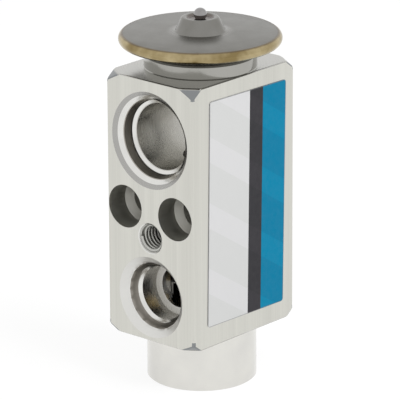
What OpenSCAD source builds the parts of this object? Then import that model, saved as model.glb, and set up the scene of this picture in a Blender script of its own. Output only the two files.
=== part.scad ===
/* [Block] */
// Width of the block, across the face that carries the label
block_w = 25.4; // [24.4:0.2:28]
// Depth of the block, from its ported face to its rear face
block_d = 34; // [33:0.5:38]
// Height of the block between its underside and its top
block_h = 60; // [59:0.5:68]
// Radius on the four upright edges
edge_r = 0.8; // [0.4:0.1:1.4]
// Radius of the circle that the turned corner cut leaves on the top
top_turn_r = 19; // [18.2:0.1:20]
// Radius of the circle that the turned corner cut leaves on the underside
base_turn_r = 19.4; // [18.2:0.1:20]
// Fall of the turned corner cut for each millimetre outwards
turn_slope = 0.95; // [0.6:0.05:1.2]

/* [Boss and neck] */
// Diameter of the turned boss under the block
boss_d = 24.6; // [22:0.2:25]
// Height of the turned boss
boss_h = 12.2; // [11.8:0.2:16]
// Broken edge at the foot of the boss
boss_edge = 0.35; // [0.1:0.05:1]
// Diameter of the turned neck on top of the block
neck_d = 25; // [24.6:0.1:25.4]
// Height of the neck
neck_h = 3.4; // [3:0.1:5]
// Broken edge at the top of the neck
neck_edge = 0.7; // [0.3:0.1:0.8]
// Small fillet cone at the root of the neck
neck_root = 0.15; // [0.05:0.05:0.2]

/* [Suction ports] */
// Height of both suction ports above the underside of the block
suction_up = 46.4; // [45.6:0.1:47]
// Diameter of the suction bore
suction_bore_d = 15.1; // [14:0.1:15.6]
// Diameter of the suction port at the face of the block
suction_mouth_d = 22; // [21:0.1:23]
// Diameter inside the rounded lip
suction_lip_d = 20; // [19:0.1:20.6]
// Diameter where the bright bevel ends and the seal wall begins
suction_seat_d = 17.9; // [17.3:0.1:18.5]
// Diameter at the foot of the seal wall
suction_throat_d = 16.8; // [16.2:0.1:17.1]
// Depth of the rounded lip
suction_lip_deep = 0.75; // [0.4:0.05:1]
// Depth at which the seal wall begins
suction_seat_deep = 1.75; // [1.4:0.05:2.2]
// Depth at which the seal wall ends
suction_throat_deep = 3.75; // [3:0.05:4]
// Depth at which the straight bore begins
suction_bore_deep = 4.3; // [4.2:0.05:5]
// Step out of the middle of the bore, where the pin crosses it
cross_step = 0.2; // [0.2:0.05:0.4]
// Half length of the middle of the bore
cross_half = 2.7; // [2.6:0.1:3.4]

/* [Liquid inlet] */
// Height of the inlet above the underside of the block
inlet_up = 10.2; // [9.9:0.1:10.2]
// Diameter of the inlet at the face of the block
inlet_mouth_d = 18.6; // [18:0.1:19.2]
// Diameter where the seal wall begins
inlet_seat_d = 15.15; // [14.6:0.05:15.6]
// Diameter at the foot of the seal wall
inlet_throat_d = 13.75; // [13.2:0.05:14.2]
// Diameter of the straight bore
inlet_bore_d = 12.3; // [11.8:0.1:12.6]
// Diameter of the feed hole into the valve chamber
inlet_feed_d = 9.3; // [8.4:0.1:9.4]
// Depth at which the seal wall begins
inlet_seat_deep = 1.55; // [1.2:0.05:2]
// Depth at which the seal wall ends
inlet_throat_deep = 3.25; // [2.8:0.05:3.6]
// Depth at which the straight bore begins
inlet_bore_deep = 4.15; // [3.9:0.05:4.6]
// Depth at which the straight bore ends
inlet_floor_deep = 8.7; // [8:0.05:8.8]
// Fall of the bore's floor towards the feed hole
inlet_floor_fall = 0.35; // [0.2:0.05:0.5]

/* [Liquid outlet] */
// Height of the rear outlet above the underside of the block
outlet_up = 20; // [19.8:0.1:20.2]
// Diameter of the outlet at the rear face
outlet_mouth_d = 15.2; // [14.6:0.1:15.6]
// Diameter where the seal wall begins
outlet_seat_d = 12.8; // [12.4:0.1:13.4]
// Diameter at the foot of the seal wall
outlet_throat_d = 11.8; // [11.2:0.1:12.2]
// Diameter of the straight bore
outlet_bore_d = 10.4; // [9.8:0.1:10.8]
// Diameter of the gallery that joins the outlet to the valve seat
gallery_d = 5.2; // [4.4:0.1:5.4]
// Depth at which the seal wall begins
outlet_seat_deep = 1.2; // [0.8:0.05:1.6]
// Depth at which the seal wall ends
outlet_throat_deep = 2.9; // [2.4:0.05:3.2]
// Depth at which the straight bore begins
outlet_bore_deep = 3.6; // [3.4:0.05:4]
// Depth at which the straight bore ends
outlet_floor_deep = 8.2; // [7.6:0.1:9]

/* [Fixing holes] */
// Distance between the two bolt holes
bolt_pitch = 14.6; // [14.2:0.1:15]
// Height of the bolt holes above the underside of the block
bolt_up = 29.9; // [29.6:0.1:30.4]
// Diameter of the bolt holes
bolt_hole_d = 7.2; // [6:0.1:7.4]
// Diameter of the recess for the bolt head
bolt_head_d = 9.75; // [9:0.05:10]
// Depth of the recess for the bolt head
bolt_head_deep = 5.3; // [4:0.1:7]
// Height of the tapped hole above the underside of the block
stud_up = 23.9; // [23.6:0.1:24.2]
// Diameter over the thread of the tapped hole
stud_d = 6; // [5:0.1:6.2]
// Depth of the tapped hole
stud_deep = 11; // [8:0.5:12]
// Diameter of the countersink of the tapped hole
stud_mouth_d = 7.1; // [6.4:0.1:7.4]

/* [Valve chamber] */
// Diameter of the chamber that holds the ball and its carriage
chamber_d = 14; // [13.6:0.1:14.4]
// Height of the chamber's ceiling above the underside of the block
chamber_top_up = 15; // [14.95:0.05:15.4]
// Diameter of the tapped bore for the adjusting nut
nut_bore_d = 15; // [14.8:0.1:15.4]
// Height of the step between that bore and the chamber
chamber_step_up = 6.7; // [5.8:0.1:7]

/* [Seat and ball] */
// Diameter of the pressed-in seat ring
seat_ring_d = 7.2; // [6.6:0.1:8]
// Height of the seat ring
seat_ring_h = 1.8; // [1.4:0.1:2]
// Diameter of the orifice
orifice_d = 3.8; // [3:0.1:4.2]
// Diameter of the seat's mouth
seat_mouth_d = 5.2; // [4.8:0.1:5.6]
// Diameter of the valve ball
ball_d = 5.5; // [5:0.1:6]
// Travel of the ball from closed to wide open
stroke = 0.5; // [0.3:0.05:0.55]

/* [Ball carriage and springs] */
// Diameter of the carriage's head
carriage_d = 9.6; // [9.4:0.1:10.4]
// Thickness of the carriage's head
carriage_h = 2.4; // [2:0.1:2.8]
// Diameter of the spigots that centre the spring
spigot_d = 6.2; // [5:0.1:6.4]
// Length of the carriage's spigot
spigot_l = 2.6; // [1.5:0.1:3.2]
// Mean diameter of the coil spring
spring_d = 8; // [7.8:0.05:8.3]
// Diameter of the spring wire
spring_wire = 1.1; // [0.8:0.05:1.2]
// Number of working turns of the coil spring
spring_turns = 4; // [3:1:5]
// Thickness of the damping spring's sheet
damper_t = 0.3; // [0.2:0.05:0.4]
// Length of the damping spring's legs
damper_leg = 2.7; // [2:0.1:3]
// Angle that each of its three legs covers
damper_span = 70; // [40:5:90]

/* [Adjusting nut] */
// Length of the adjusting nut
nut_l = 7.9; // [7.2:0.1:8.4]
// Depth of the nut below the foot of the boss
nut_recess = 1.4; // [1.2:0.1:2]
// Distance across the flats of its hex socket
socket_af = 6; // [5:0.5:7]
// Depth of its hex socket
socket_deep = 4.5; // [3:0.25:5]
// Length of the nut's upper spigot
nut_spigot_l = 2; // [1:0.1:2.5]
// Thickness of the nut's sealing ring
nut_seal_cord = 1.5; // [1.2:0.05:1.8]

/* [Sensing pin] */
// Diameter of the sensing pin
pin_d = 4.4; // [4:0.1:4.8]
// Diameter of the push rod
rod_d = 2; // [1.6:0.1:2.4]
// Height of the sensing pin's foot above the underside of the block
pin_foot_up = 32; // [31.8:0.1:32.6]
// Depth of the hole in the pin's foot that takes the rod
rod_socket = 2; // [1:0.1:3]
// Thickness of the pin's sealing ring
pin_seal_cord = 1.75; // [1.5:0.05:1.9]
// Thickness of the star washer that holds the ring down
retainer_t = 0.4; // [0.3:0.05:0.6]
// Diameter of the gas passage round the pin, above the suction bore
passage_d = 11; // [9:0.1:12]

/* [Power head] */
// How far the head's rim stands out beyond the ported face
rim_over = 1.075; // [0.5:0.025:2]
// Thickness of the rim
rim_h = 2.44; // [2.2:0.02:2.7]
// Width of the welded bead beyond the flat of the cover
bead_w = 0.77; // [0.5:0.01:1]
// Height of the rim's middle above the neck
rim_up = 2.8; // [2.7:0.05:3.4]
// Thickness of the cover's sheet
cover_t = 0.7; // [0.6:0.05:0.8]
// Rise of the cover from its rim to the foot of the dome
cover_rise = 0.25; // [0:0.05:0.5]
// Diameter of the low skirt round the dome
skirt_d = 14.4; // [13:0.1:15.5]
// Rise of that skirt towards the dome
skirt_rise = 0.15; // [0.05:0.05:0.3]
// Diameter of the cone-shaped dome at its foot
dome_d = 10.9; // [10:0.1:11.4]
// Diameter of the dome's upper edge
dome_top_d = 6.8; // [6:0.1:7.2]
// Height of the dome's upper edge above the cover
dome_h = 3.3; // [3:0.05:4]
// Depth of the dish in the top of the dome
dome_dish = 0.5; // [0.3:0.05:0.8]
// Width of the rounding on the dome's upper edge
dome_lip = 0.25; // [0.1:0.05:0.4]
// Diameter of the charging hole
charge_hole_d = 2.2; // [1.8:0.1:2.4]
// Diameter of the ball that plugs the charging hole
charge_ball_d = 2.92; // [2.6:0.02:3.2]
// Thickness of the diaphragm
diaphragm_t = 0.15; // [0.1:0.01:0.2]
// Radial width of the flat that the rim clamps
clamp_w = 2.9; // [2.4:0.1:3.2]
// Height of the diaphragm's waves
wave_h = 0.1; // [0.06:0.02:0.14]
// Radial width of the waves between the clamp and the pad
wave_w = 3.6; // [3:0.1:5]
// Thickness of the pad
pad_t = 0.8; // [0.6:0.05:0.9]
// Length of the pad's hub, which holds the pin
pad_hub_l = 2.4; // [1.8:0.1:3]
// Diameter over the thread of the head's hub
hub_d = 19.8; // [19:0.1:20]
// Length of the head's hub
hub_l = 5; // [4:0.1:5.2]
// Inner diameter of the head's hub
hub_bore_d = 14; // [13:0.1:15]
// Thickness of the ring that seals the head
head_seal_cord = 1.2; // [1:0.05:1.2]

/* [Label] */
// Width of the label
label_w = 25.5; // [20:0.1:26]
// Height of the label
label_h = 51.6; // [40:0.1:53]
// Thickness of the label
label_t = 0.12; // [0.05:0.01:0.2]
// Height of the label's middle above the underside of the block
label_up = 30.4; // [29.5:0.1:31]
// Distance of the label's middle from the middle of its face, to the rear
label_side = 0.75; // [0:0.05:1.2]
// Angle at which the label was stuck on
label_tilt = 1; // [-2:0.1:2]
// Radius of the label's corners
label_r = 0.7; // [0.3:0.1:2]

/* [Clearances] */
// Radial clearance of a pin or rod in its bore
slide_gap = 0.05; // [0.02:0.01:0.1]
// Radial clearance between two threads
thread_gap = 0.1; // [0.05:0.01:0.15]
// Clearance of a rubber ring in its groove
seal_gap = 0.02; // [0.01:0.01:0.05]
// Clearance between two pieces that rest on each other
rest_gap = 0.02; // [0.01:0.005:0.04]
// Space left under a moving piece at the end of its travel
end_gap = 0.15; // [0.1:0.05:0.3]

/* [Hidden] */
$fn = 96;
eps = 0.01;
over = 1;

base_z = boss_h;
top_z = base_z + block_h;
neck_z = top_z + neck_h;
face_y = block_d / 2;

suction_z = base_z + suction_up;
inlet_z = base_z + inlet_up;
outlet_z = base_z + outlet_up;
bolt_z = base_z + bolt_up;
stud_z = base_z + stud_up;
drill_slope = 0.6;
bolt_cone_slope = 1.3;
feed_reach = chamber_d * 0.35;
orifice_relief = 0.6;

// The head is measured from the plane in which the diaphragm is clamped
clamp_z = neck_z + rim_up;
rim_r = face_y + rim_over;
flat_r = rim_r - bead_w;
bead_r = (bead_w * bead_w + rim_h * rim_h / 4) / (2 * bead_w);
clamp_r = flat_r - clamp_w;
clamp_edge = flat_r - 4 * rest_gap;
cover_top = rim_h / 2;
dome_foot = cover_top + cover_rise;
dome_top = dome_foot + dome_h;
dish_floor = dome_top - dome_dish;
cover_under = dome_foot - cover_t;
charge_ball_z = dish_floor + sqrt(pow(charge_ball_d, 2) - pow(charge_hole_d, 2)) / 2 + rest_gap;
half_dia = diaphragm_t / 2;
sheet_up = cover_under - half_dia - 4 * rest_gap;
pad_r = clamp_r - wave_w;
pad_top = sheet_up - half_dia - rest_gap;
pad_foot = pad_top - pad_t;
pad_room = 0.95;
base_floor = pad_foot - stroke - pad_room;
dish_slope = 0.65;
seat_land = 0.5;
broken_edge = 0.5;
pad_hub_wall = 1.2;

// The moving stack is measured down from the seat
seat_z = base_z + chamber_top_up;
cone_drop = ball_d / sqrt(2) - seat_mouth_d / 2;
ball_z = seat_z - cone_drop - 1.5 * rest_gap;
ball_top = ball_z + ball_d / 2;
cup_mouth_d = 5.2;
cup_depth = 1.7;
carriage_top = ball_z - (ball_d / sqrt(2) - cup_mouth_d / 2) - rest_gap;
carriage_foot = carriage_top - carriage_h;
damper_z = carriage_foot - damper_t;
damper_r = chamber_d / 2 - end_gap;
damper_turn = 202;

nut_foot = nut_recess;
nut_top = nut_foot + nut_l;
nut_d = nut_bore_d - 2 * thread_gap;
nut_land = 0.9;
nut_groove_z = nut_top - nut_land - nut_seal_cord;
nut_groove_room = 0.2;
nut_groove_h = nut_seal_cord + nut_groove_room;
nut_groove_d = nut_bore_d - 2 * nut_seal_cord - 4 * seal_gap;
nut_seal_r = nut_bore_d / 2 - seal_gap - nut_seal_cord / 2;

pin_foot = base_z + pin_foot_up;
pin_top = clamp_z + pad_foot;
pin_well = pin_foot - stroke - 2 * end_gap;
pin_bore_d = pin_d + 2 * slide_gap;
rod_bore_d = rod_d + 2 * slide_gap;
pocket_d = pin_d + 2 * pin_seal_cord + 4 * seal_gap;
pocket_room = 0.85;
pocket_deep = pin_seal_cord + retainer_t + pocket_room;
cross_d = suction_bore_d + 2 * cross_step;
pocket_floor = suction_z - cross_d / 2 - pocket_deep;

hub_foot = neck_z - hub_l;
socket_d = hub_d + 2 * thread_gap;
socket_floor = hub_foot - 4 * end_gap;
head_seal_r = hub_d / 2 + seal_gap + head_seal_cord / 2;
seal_recess_r = head_seal_r + head_seal_cord / 2 + seal_gap;

// A solid of revolution about a hole that runs in from the ported face at height z
module port_cut(z, profile) {
    translate([0, -face_y, z]) rotate([-90, 0, 0]) rotate_extrude() polygon(profile);
}

// The same for a hole that runs in from the rear face
module rear_cut(z, profile) {
    translate([0, face_y, z]) rotate([90, 0, 0]) rotate_extrude() polygon(profile);
}

function suction_profile() = [
    [0, -over], [suction_mouth_d / 2, -over], [suction_mouth_d / 2, 0],
    [suction_lip_d / 2, suction_lip_deep], [suction_seat_d / 2, suction_seat_deep],
    [suction_throat_d / 2, suction_throat_deep], [suction_bore_d / 2, suction_bore_deep],
    [suction_bore_d / 2, face_y - cross_half], [cross_d / 2, face_y - cross_half],
    [cross_d / 2, face_y + eps], [0, face_y + eps]];

function inlet_profile() = [
    [0, -over], [inlet_mouth_d / 2, -over], [inlet_mouth_d / 2, 0],
    [inlet_seat_d / 2, inlet_seat_deep], [inlet_throat_d / 2, inlet_throat_deep],
    [inlet_bore_d / 2, inlet_bore_deep], [inlet_bore_d / 2, inlet_floor_deep],
    [inlet_feed_d / 2, inlet_floor_deep + inlet_floor_fall],
    [inlet_feed_d / 2, face_y - feed_reach], [0, face_y - feed_reach]];

function outlet_profile() = [
    [0, -over], [outlet_mouth_d / 2, -over], [outlet_mouth_d / 2, 0],
    [outlet_seat_d / 2, outlet_seat_deep], [outlet_throat_d / 2, outlet_throat_deep],
    [outlet_bore_d / 2, outlet_bore_deep], [outlet_bore_d / 2, outlet_floor_deep],
    [gallery_d / 2, outlet_floor_deep + (outlet_bore_d - gallery_d) / 2 * drill_slope],
    [gallery_d / 2, face_y + gallery_d / 2], [0, face_y + gallery_d / 2]];

function bolt_profile() = [
    [0, -over], [bolt_head_d / 2, -over], [bolt_head_d / 2, bolt_head_deep],
    [bolt_hole_d / 2, bolt_head_deep + (bolt_head_d - bolt_hole_d) / 2 * bolt_cone_slope],
    [bolt_hole_d / 2, block_d + over], [0, block_d + over]];

function stud_profile() = [
    [0, -over], [stud_mouth_d / 2, -over], [stud_mouth_d / 2, 0],
    [stud_d / 2, (stud_mouth_d - stud_d) / 2], [stud_d / 2, stud_deep],
    [0, stud_deep + stud_d / 2 * drill_slope]];

// The block's outline seen from above, with its rounded upright edges
module block_outline() {
    square([block_w - 2 * edge_r, block_d], center = true);
    square([block_w, block_d - 2 * edge_r], center = true);
    for (x = [-1, 1])
        for (y = [-1, 1])
            translate([x * (block_w / 2 - edge_r), y * (block_d / 2 - edge_r)]) circle(edge_r);
}

corner_r = norm([block_w, block_d]) / 2;
base_cut = max(corner_r - base_turn_r, eps) + over;
top_cut = max(corner_r - top_turn_r, eps) + over;

// Half section that the turned corner cuts leave of the block
module corner_section() {
    polygon([
        [0, base_z], [base_turn_r, base_z], [base_turn_r + base_cut, base_z + base_cut * turn_slope],
        [top_turn_r + top_cut, top_z - top_cut * turn_slope], [top_turn_r, top_z], [0, top_z]]);
}

// Half sections of the turned boss below the block and the turned neck above it
module boss_section() {
    polygon([
        [0, 0], [boss_d / 2 - boss_edge, 0], [boss_d / 2, boss_edge], [boss_d / 2, base_z + eps],
        [0, base_z + eps]]);
}

module neck_section() {
    polygon([
        [0, top_z - eps], [neck_d / 2 + neck_root, top_z - eps], [neck_d / 2, top_z + neck_root],
        [neck_d / 2, neck_z - neck_edge], [neck_d / 2 - neck_edge, neck_z], [0, neck_z]]);
}

// Everything bored down the valve's axis
module axis_bores() {
    translate([0, 0, -over]) cylinder(h = base_z + chamber_step_up + over, d = nut_bore_d);
    translate([0, 0, base_z]) cylinder(h = chamber_top_up, d = chamber_d);
    translate([0, 0, seat_z - eps]) cylinder(h = seat_ring_h + eps, d = seat_ring_d);
    translate([0, 0, seat_z]) cylinder(h = outlet_z - seat_z, d = orifice_d + orifice_relief);
    translate([0, 0, outlet_z]) cylinder(h = pin_well - outlet_z + eps, d = rod_bore_d);
    translate([0, 0, pin_well]) cylinder(h = pocket_floor - pin_well + eps, d = pin_bore_d);
    translate([0, 0, pocket_floor]) cylinder(h = suction_z - pocket_floor, d = pocket_d);
    translate([0, 0, suction_z]) cylinder(h = socket_floor - suction_z + eps, d = passage_d);
    translate([0, 0, socket_floor]) cylinder(h = neck_z - socket_floor + over, d = socket_d);
    translate([0, 0, neck_z - head_seal_cord - 2 * seal_gap])
        cylinder(h = head_seal_cord + over, r = seal_recess_r);
}

module valve_body() {
    color([0.80, 0.80, 0.78]) difference() {
        union() {
            intersection() {
                translate([0, 0, base_z]) linear_extrude(block_h) block_outline();
                rotate_extrude() corner_section();
            }
            rotate_extrude() boss_section();
            rotate_extrude() neck_section();
        }
        axis_bores();
        port_cut(suction_z, suction_profile());
        rear_cut(suction_z, suction_profile());
        port_cut(inlet_z, inlet_profile());
        rear_cut(outlet_z, outlet_profile());
        for (side = [-1, 1])
            translate([side * bolt_pitch / 2, 0, 0]) port_cut(bolt_z, bolt_profile());
        port_cut(stud_z, stud_profile());
    }
}

// Points down the welded bead, from the cover's edge to the foot of the rim
bead_steps = 16;
bead_arc = asin(rim_h / 2 / bead_r);
function bead() = [
    for (i = [0:bead_steps])
        let (a = bead_arc * (1 - 2 * i / bead_steps))
        [rim_r - bead_r + bead_r * cos(a), bead_r * sin(a)]];

module head_cover() {
    color([0.62, 0.62, 0.60]) translate([0, 0, clamp_z]) rotate_extrude() {
        difference() {
            polygon(concat(
                [[charge_hole_d / 2, dish_floor],
                 [dome_top_d / 2 - dome_lip - dome_dish, dish_floor],
                 [dome_top_d / 2 - dome_lip, dome_top],
                 [dome_top_d / 2, dome_top - dome_lip / 2],
                 [dome_d / 2, dome_foot + skirt_rise], [skirt_d / 2, dome_foot]],
                bead(),
                [[flat_r - rest_gap, -rim_h / 2], [flat_r - rest_gap, half_dia],
                 [charge_hole_d / 2, half_dia]]));
            // The hollow over the diaphragm and the inside of the dome
            square([clamp_r, cover_under]);
            polygon([
                [0, 0], [0, dish_floor - cover_t], [dome_top_d / 2 - cover_t / 2, dish_floor - cover_t],
                [dome_d / 2 - cover_t, dome_foot], [dome_d / 2 - cover_t, 0]]);
        }
    }
}

module charge_ball() {
    color([0.75, 0.75, 0.76]) translate([0, 0, clamp_z + charge_ball_z]) sphere(d = charge_ball_d);
}

// The diaphragm's middle surface, from the raised flat over the pad out to the clamp
wave_steps = 24;
function wave_r(i) = pad_r + wave_w * i / wave_steps;
function wave_z(i) = sheet_up * (1 + cos(180 * i / wave_steps)) / 2
    + wave_h * sin(720 * i / wave_steps) * (1 - i / wave_steps);

module diaphragm() {
    color([0.70, 0.70, 0.68]) translate([0, 0, clamp_z]) rotate_extrude() polygon(concat(
        [[0, sheet_up - half_dia]],
        [for (i = [0:wave_steps]) [wave_r(i), wave_z(i) - half_dia]],
        [[clamp_edge, -half_dia], [clamp_edge, half_dia]],
        [for (i = [wave_steps:-1:0]) [wave_r(i), wave_z(i) + half_dia]],
        [[0, sheet_up + half_dia]]));
}

module head_base() {
    seat_r = neck_d / 2 - neck_edge + seat_land;
    under = -rim_h / 2;
    floor_r = clamp_r - (-half_dia - base_floor) / dish_slope;
    color([0.55, 0.55, 0.54]) translate([0, 0, clamp_z]) rotate_extrude() polygon([
        [hub_bore_d / 2, base_floor], [floor_r, base_floor], [clamp_r, -half_dia],
        [clamp_edge, -half_dia], [clamp_edge, under], [seat_r + (rim_up + under) / dish_slope, under],
        [seat_r, -rim_up], [hub_d / 2, -rim_up], [hub_d / 2, -rim_up - hub_l + broken_edge],
        [hub_d / 2 - broken_edge, -rim_up - hub_l], [hub_bore_d / 2, -rim_up - hub_l]]);
}

// A rubber ring of the given cord that lies flat round the axis
module rubber_ring(mid_r, cord) {
    rotate_extrude() translate([mid_r, 0]) circle(d = cord, $fn = 48);
}

module head_seal() {
    color([0.12, 0.13, 0.12]) translate([0, 0, neck_z - head_seal_cord / 2 - seal_gap])
        rubber_ring(head_seal_r, head_seal_cord);
}

module diaphragm_pad() {
    hub_r = pin_d / 2 + pad_hub_wall;
    color([0.66, 0.62, 0.50]) translate([0, 0, clamp_z]) difference() {
        rotate_extrude() polygon([
            [0, pad_top], [pad_r - pad_t / 2, pad_top], [pad_r, pad_top - pad_t / 2],
            [pad_r, pad_foot], [hub_r, pad_foot], [hub_r, pad_foot - pad_hub_l],
            [0, pad_foot - pad_hub_l]]);
        translate([0, 0, pad_foot - pad_hub_l - over])
            cylinder(h = pad_hub_l + over, d = pin_d + 2 * rest_gap);
    }
}

module sensing_pin() {
    tip = 0.4;
    color([0.78, 0.78, 0.80]) difference() {
        rotate_extrude() polygon([
            [0, pin_foot], [pin_d / 2 - tip, pin_foot], [pin_d / 2, pin_foot + tip],
            [pin_d / 2, pin_top], [0, pin_top]]);
        translate([0, 0, pin_foot - over])
            cylinder(h = rod_socket + over, d = rod_d + 2 * rest_gap);
    }
}

module rod_seal() {
    color([0.12, 0.13, 0.12]) translate([0, 0, pocket_floor + seal_gap + pin_seal_cord / 2])
        rubber_ring(pin_d / 2 + seal_gap + pin_seal_cord / 2, pin_seal_cord);
}

// Star washer: its teeth grip the wall of the pocket
module seal_retainer() {
    teeth = 10;
    tooth_w = 0.9;
    outer_r = pocket_d / 2 - rest_gap;
    inner_r = pin_d / 2 + 4 * slide_gap;
    color([0.72, 0.72, 0.70])
        translate([0, 0, pocket_floor + pin_seal_cord + 3 * seal_gap]) difference() {
            cylinder(h = retainer_t, r = outer_r);
            translate([0, 0, -over]) cylinder(h = retainer_t + 2 * over, r = inner_r);
            for (i = [0:teeth - 1])
                rotate(i * 360 / teeth) translate([outer_r - tooth_w, -tooth_w / 4, -over])
                    cube([tooth_w + over, tooth_w / 2, retainer_t + 2 * over]);
        }
}

module push_rod() {
    foot = ball_top + rest_gap;
    color([0.70, 0.70, 0.72]) translate([0, 0, foot])
        cylinder(h = pin_foot + rod_socket - foot, d = rod_d);
}

module seat_ring() {
    outer_d = seat_ring_d - 2 * rest_gap;
    cone = (seat_mouth_d - orifice_d) / 2;
    color([0.74, 0.72, 0.66]) translate([0, 0, seat_z]) rotate_extrude() polygon([
        [seat_mouth_d / 2, 0], [outer_d / 2, 0], [outer_d / 2, seat_ring_h - rest_gap],
        [orifice_d / 2, seat_ring_h - rest_gap], [orifice_d / 2, cone]]);
}

module valve_ball() {
    color([0.78, 0.78, 0.80]) translate([0, 0, ball_z]) sphere(d = ball_d);
}

module ball_carriage() {
    color([0.68, 0.66, 0.60]) rotate_extrude() polygon([
        [0, carriage_top - cup_depth], [cup_mouth_d / 2 - cup_depth, carriage_top - cup_depth],
        [cup_mouth_d / 2, carriage_top], [carriage_d / 2, carriage_top],
        [carriage_d / 2, carriage_foot], [spigot_d / 2, carriage_foot],
        [spigot_d / 2, carriage_foot - spigot_l + broken_edge],
        [spigot_d / 2 - broken_edge, carriage_foot - spigot_l], [0, carriage_foot - spigot_l]]);
}

// Sheet ring under the carriage, with three legs that bear on the chamber's wall
module damper_spring() {
    legs = 3;
    color([0.76, 0.76, 0.74]) {
        translate([0, 0, damper_z]) difference() {
            cylinder(h = damper_t, r = carriage_d / 2);
            translate([0, 0, -over])
                cylinder(h = damper_t + 2 * over, d = spigot_d + 4 * rest_gap);
        }
        for (i = [0:legs - 1])
            rotate(damper_turn - damper_span / 2 + i * 360 / legs) {
                rotate_extrude(angle = damper_span)
                    translate([carriage_d / 2 - over / 2, damper_z])
                        square([damper_r - carriage_d / 2 + over / 2, damper_t]);
                rotate_extrude(angle = damper_span)
                    translate([damper_r - damper_t, damper_z + damper_t - damper_leg])
                        square([damper_t, damper_leg]);
            }
    }
}

// Coil spring with a closed, ground coil at each end, swept along its helix
ring_sides = 10;
turn_rings = 20;
coil_low = nut_top;
coil_high = damper_z;
closed_pitch = spring_wire * 1.06;
tip_up = spring_wire * 0.25;
coil_turns = spring_turns + 2;
active_rise = coil_high - coil_low - 2 * tip_up - 2 * closed_pitch;
function coil_z(t) = coil_low + tip_up + (
    t < 1 ? closed_pitch * t :
    t > coil_turns - 1 ? closed_pitch * (2 - coil_turns + t) + active_rise :
    closed_pitch + active_rise * (t - 1) / spring_turns);
function ground(z) = min(coil_high, max(coil_low, z));

module superheat_spring() {
    rings = coil_turns * turn_rings;
    points = [
        for (i = [0:rings])
            for (k = [0:ring_sides - 1])
                let (t = i / turn_rings, a = 360 * t, b = 360 * (k + 0.5) / ring_sides,
                     r = spring_d / 2 + spring_wire / 2 * cos(b))
                [r * cos(a), r * sin(a), ground(coil_z(t) + spring_wire / 2 * sin(b))]];
    sides = [
        for (i = [0:rings - 1])
            for (k = [0:ring_sides - 1])
                let (here = i * ring_sides, next = here + ring_sides, n = (k + 1) % ring_sides)
                [here + k, next + k, next + n, here + n]];
    first = [for (k = [0:ring_sides - 1]) k];
    last = [for (k = [ring_sides - 1:-1:0]) rings * ring_sides + k];
    color([0.60, 0.61, 0.63]) polyhedron(points, concat(sides, [first, last]), convexity = 8);
}

module adjusting_nut() {
    lead = 0.6;
    color([0.70, 0.66, 0.52]) difference() {
        rotate_extrude() polygon([
            [0, nut_foot], [nut_d / 2 - lead, nut_foot], [nut_d / 2, nut_foot + lead],
            [nut_d / 2, nut_groove_z], [nut_groove_d / 2, nut_groove_z],
            [nut_groove_d / 2, nut_groove_z + nut_groove_h],
            [nut_d / 2, nut_groove_z + nut_groove_h], [nut_d / 2, nut_top], [spigot_d / 2, nut_top],
            [spigot_d / 2, nut_top + nut_spigot_l - lead],
            [spigot_d / 2 - lead, nut_top + nut_spigot_l], [0, nut_top + nut_spigot_l]]);
        translate([0, 0, nut_foot - over])
            cylinder(h = socket_deep + over, d = socket_af / cos(30), $fn = 6);
    }
}

module nut_seal() {
    color([0.12, 0.13, 0.12]) translate([0, 0, nut_groove_z + nut_groove_h / 2])
        rubber_ring(nut_seal_r, nut_seal_cord);
}

module label() {
    color([0.86, 0.86, 0.87])
        translate([block_w / 2, label_side, base_z + label_up])
            rotate([90, 0, 90]) rotate(-label_tilt) linear_extrude(label_t) {
                square([label_w - 2 * label_r, label_h], center = true);
                square([label_w, label_h - 2 * label_r], center = true);
                for (x = [-1, 1])
                    for (y = [-1, 1])
                        translate([x * (label_w / 2 - label_r), y * (label_h / 2 - label_r)])
                            circle(label_r, $fn = 32);
            }
}

valve_body();
head_cover();
charge_ball();
diaphragm();
head_base();
head_seal();
diaphragm_pad();
sensing_pin();
rod_seal();
seal_retainer();
push_rod();
seat_ring();
valve_ball();
ball_carriage();
damper_spring();
superheat_spring();
adjusting_nut();
nut_seal();
label();
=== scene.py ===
import math

import bmesh
import bpy
from mathutils import Matrix, Vector
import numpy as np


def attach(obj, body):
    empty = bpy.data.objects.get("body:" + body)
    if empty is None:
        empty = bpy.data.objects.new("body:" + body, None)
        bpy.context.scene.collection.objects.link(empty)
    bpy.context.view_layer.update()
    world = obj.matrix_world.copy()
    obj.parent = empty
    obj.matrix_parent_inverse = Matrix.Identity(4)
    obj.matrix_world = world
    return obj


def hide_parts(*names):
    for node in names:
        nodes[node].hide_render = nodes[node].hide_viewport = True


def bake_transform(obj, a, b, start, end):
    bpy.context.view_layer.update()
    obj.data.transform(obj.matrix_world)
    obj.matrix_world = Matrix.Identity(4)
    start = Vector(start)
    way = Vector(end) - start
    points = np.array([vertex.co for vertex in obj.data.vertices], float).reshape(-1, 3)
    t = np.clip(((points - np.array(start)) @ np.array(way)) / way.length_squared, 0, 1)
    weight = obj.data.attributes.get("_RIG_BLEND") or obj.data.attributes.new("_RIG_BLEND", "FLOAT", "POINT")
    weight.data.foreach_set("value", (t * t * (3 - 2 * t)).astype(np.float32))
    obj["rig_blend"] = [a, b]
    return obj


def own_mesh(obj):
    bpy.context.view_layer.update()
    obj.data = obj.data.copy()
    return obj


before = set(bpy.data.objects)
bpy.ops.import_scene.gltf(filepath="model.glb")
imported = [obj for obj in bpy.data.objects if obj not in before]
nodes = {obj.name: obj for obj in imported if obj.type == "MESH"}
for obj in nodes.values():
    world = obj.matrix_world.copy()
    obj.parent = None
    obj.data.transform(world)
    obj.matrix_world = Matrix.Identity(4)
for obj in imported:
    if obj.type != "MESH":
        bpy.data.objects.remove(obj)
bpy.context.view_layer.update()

MM = 0.001
scene = bpy.context.scene

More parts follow.
